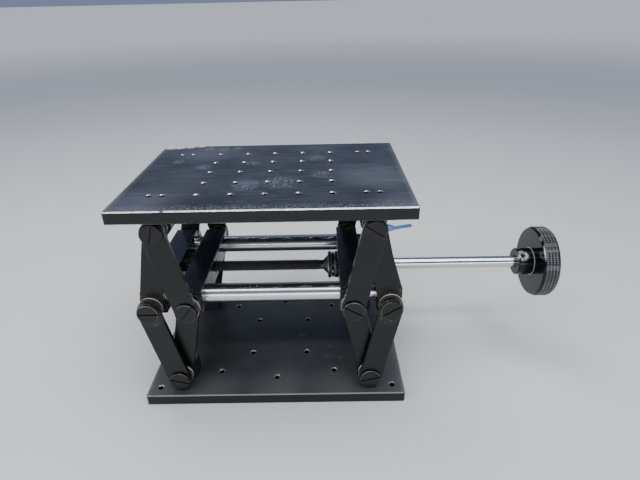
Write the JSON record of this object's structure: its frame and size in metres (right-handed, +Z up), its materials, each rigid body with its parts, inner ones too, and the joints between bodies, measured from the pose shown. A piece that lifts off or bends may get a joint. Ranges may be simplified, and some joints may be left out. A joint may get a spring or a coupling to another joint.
{
  "type": "lab jack",
  "caption": "Scissor lab jack: a tapped table held level over a base plate by paired links, raised by a lead screw with a knurled knob.",
  "frame": {"origin": "middle of the base plate's underside", "axes": "+X along the lead screw towards the knob, +Y to the back, +Z up through the table"},
  "size_m": [0.3515, 0.1636, 0.1784],
  "materials": {
    "black_anodised_plate": "satin black anodised, scuffed, bevels worn bright",
    "black_anodised_bar": "smooth black anodised",
    "black_anodised_link": "satin black anodised, dusty, greasy near the pivots",
    "black_oxide_screw": "black oxide, slots worn",
    "socket_screw": "black oxide",
    "washer_steel": "bright zinc plated",
    "ground_rod": "ground and polished",
    "oiled_screw": "dark and greased, with rust specks",
    "bearing_steel": "polished",
    "brass": "turned, dark with old grease",
    "plain_steel": "plain turned",
    "black_collar": "black oxide",
    "zinc_lever": "bright zinc with a blue cast",
    "black_knob": "glossy black anodised, knurled rim, edges worn bright"
  },
  "bodies": {
    "base": {"base_plate": "black_anodised_plate", "base_brackets_left": "black_anodised_bar", "base_brackets_right": "black_anodised_bar", "base_fixing_screws": "socket_screw", "base_pivot_screws": "black_oxide_screw", "base_washers": "washer_steel"},
    "table": {"table_plate": "black_anodised_plate", "table_brackets_left": "black_anodised_bar", "table_brackets_right": "black_anodised_bar", "table_fixing_screws": "socket_screw", "table_pivot_screws": "black_oxide_screw", "table_washers": "washer_steel"},
    "lower_outer_left": {"front_lower_outer_link_left": "black_anodised_link", "back_lower_outer_link_left": "black_anodised_link"},
    "lower_inner_left": {"front_lower_inner_link_left": "black_anodised_link", "back_lower_inner_link_left": "black_anodised_link"},
    "upper_outer_left": {"front_upper_outer_link_left": "black_anodised_link", "back_upper_outer_link_left": "black_anodised_link"},
    "upper_inner_left": {"front_upper_inner_link_left": "black_anodised_link", "back_upper_inner_link_left": "black_anodised_link"},
    "lower_outer_right": {"front_lower_outer_link_right": "black_anodised_link", "back_lower_outer_link_right": "black_anodised_link"},
    "lower_inner_right": {"front_lower_inner_link_right": "black_anodised_link", "back_lower_inner_link_right": "black_anodised_link"},
    "upper_outer_right": {"front_upper_outer_link_right": "black_anodised_link", "back_upper_outer_link_right": "black_anodised_link"},
    "upper_inner_right": {"front_upper_inner_link_right": "black_anodised_link", "back_upper_inner_link_right": "black_anodised_link"},
    "carriage_a": {"outer_bar_left": "black_anodised_bar", "inner_bar_right": "black_anodised_bar", "front_guide_rod": "ground_rod", "carriage_a_pivot_screws": "black_oxide_screw", "carriage_a_washers": "washer_steel", "bar_side_race": "bearing_steel"},
    "carriage_b": {"inner_bar_left": "black_anodised_bar", "outer_bar_right": "black_anodised_bar", "back_guide_rod": "ground_rod", "carriage_b_pivot_screws": "black_oxide_screw", "carriage_b_washers": "washer_steel", "drive_nut": "brass", "nut_grub_screw": "socket_screw", "lock_stud": "plain_steel"},
    "screw": {"lead_screw": "oiled_screw", "drive_shaft": "ground_rod", "shaft_pin": "plain_steel", "shaft_collar": "black_collar", "collar_grub_screw": "socket_screw", "screw_side_race": "bearing_steel", "knob": "black_knob", "knob_set_screw": "socket_screw"},
    "ball_set": {"ball_cage": "bearing_steel", "bearing_balls": "bearing_steel"},
    "lock_lever": {"lock_lever": "zinc_lever"}
  },
  "joints": [
    {"name": "fold", "type": "hinge", "parent": "base", "child": "lower_outer_left", "pos_m": [-0.08, 0, 0.0208], "axis": [0, -1, 0], "range_deg": [-2, 49.3]},
    {"name": "lower_inner_left_fold", "type": "hinge", "parent": "base", "child": "lower_inner_left", "pos_m": [-0.08, 0, 0.0208], "axis": [0, 1, 0], "range_deg": [-2.1, 49.4]},
    {"name": "lower_outer_right_fold", "type": "hinge", "parent": "base", "child": "lower_outer_right", "pos_m": [0.08, 0, 0.0208], "axis": [0, 1, 0], "range_deg": [-2.1, 49.4]},
    {"name": "lower_inner_right_fold", "type": "hinge", "parent": "base", "child": "lower_inner_right", "pos_m": [0.08, 0, 0.0208], "axis": [0, -1, 0], "range_deg": [-2.1, 49.4]},
    {"name": "carriage_a_pivot", "type": "hinge", "parent": "lower_outer_left", "child": "carriage_a", "pos_m": [-0.09479, 0, 0.08922], "axis": [0, 1, 0], "range_deg": [-2.1, 49.4]},
    {"name": "carriage_b_pivot", "type": "hinge", "parent": "lower_inner_left", "child": "carriage_b", "pos_m": [-0.06521, 0, 0.08922], "axis": [0, -1, 0], "range_deg": [-2.1, 49.4]},
    {"name": "upper_outer_left_fold", "type": "hinge", "parent": "carriage_a", "child": "upper_outer_left", "pos_m": [-0.09479, 0, 0.08922], "axis": [0, 1, 0], "range_deg": [-2.1, 49.4]},
    {"name": "upper_inner_left_fold", "type": "hinge", "parent": "carriage_b", "child": "upper_inner_left", "pos_m": [-0.06521, 0, 0.08922], "axis": [0, -1, 0], "range_deg": [-2.1, 49.4]},
    {"name": "upper_outer_right_fold", "type": "hinge", "parent": "carriage_b", "child": "upper_outer_right", "pos_m": [0.09479, 0, 0.08922], "axis": [0, -1, 0], "range_deg": [-2.1, 49.4]},
    {"name": "upper_inner_right_fold", "type": "hinge", "parent": "carriage_a", "child": "upper_inner_right", "pos_m": [0.06521, 0, 0.08922], "axis": [0, 1, 0], "range_deg": [-2.1, 49.4]},
    {"name": "table_pivot", "type": "hinge", "parent": "upper_outer_left", "child": "table", "pos_m": [-0.08, 0, 0.15764], "axis": [0, -1, 0], "range_deg": [-2.1, 49.4]},
    {"name": "knob_turn", "type": "hinge", "parent": "carriage_a", "child": "screw", "pos_m": [0.06521, 0, 0.08922], "axis": [1, 0, 0], "continuous": true},
    {"name": "ball_roll", "type": "hinge", "parent": "carriage_a", "child": "ball_set", "pos_m": [0.06521, 0, 0.08922], "axis": [1, 0, 0], "continuous": true},
    {"name": "lever_turn", "type": "hinge", "parent": "carriage_b", "child": "lock_lever", "pos_m": [0.09479, 0.0753, 0.08922], "axis": [0, 1, 0], "range_deg": [-60, 20]}
  ],
  "couplings": [
    {"joint": "lower_inner_left_fold", "follows": "fold", "ratio": 1},
    {"joint": "lower_outer_right_fold", "follows": "fold", "ratio": 1},
    {"joint": "lower_inner_right_fold", "follows": "fold", "ratio": 1},
    {"joint": "carriage_a_pivot", "follows": "fold", "ratio": 1},
    {"joint": "carriage_b_pivot", "follows": "fold", "ratio": 1},
    {"joint": "upper_outer_left_fold", "follows": "fold", "ratio": 1},
    {"joint": "upper_inner_left_fold", "follows": "fold", "ratio": 1},
    {"joint": "upper_outer_right_fold", "follows": "fold", "ratio": 1},
    {"joint": "upper_inner_right_fold", "follows": "fold", "ratio": 1},
    {"joint": "table_pivot", "follows": "fold", "ratio": 1},
    {"joint": "ball_roll", "follows": "knob_turn", "ratio": 0.5}
  ]
}
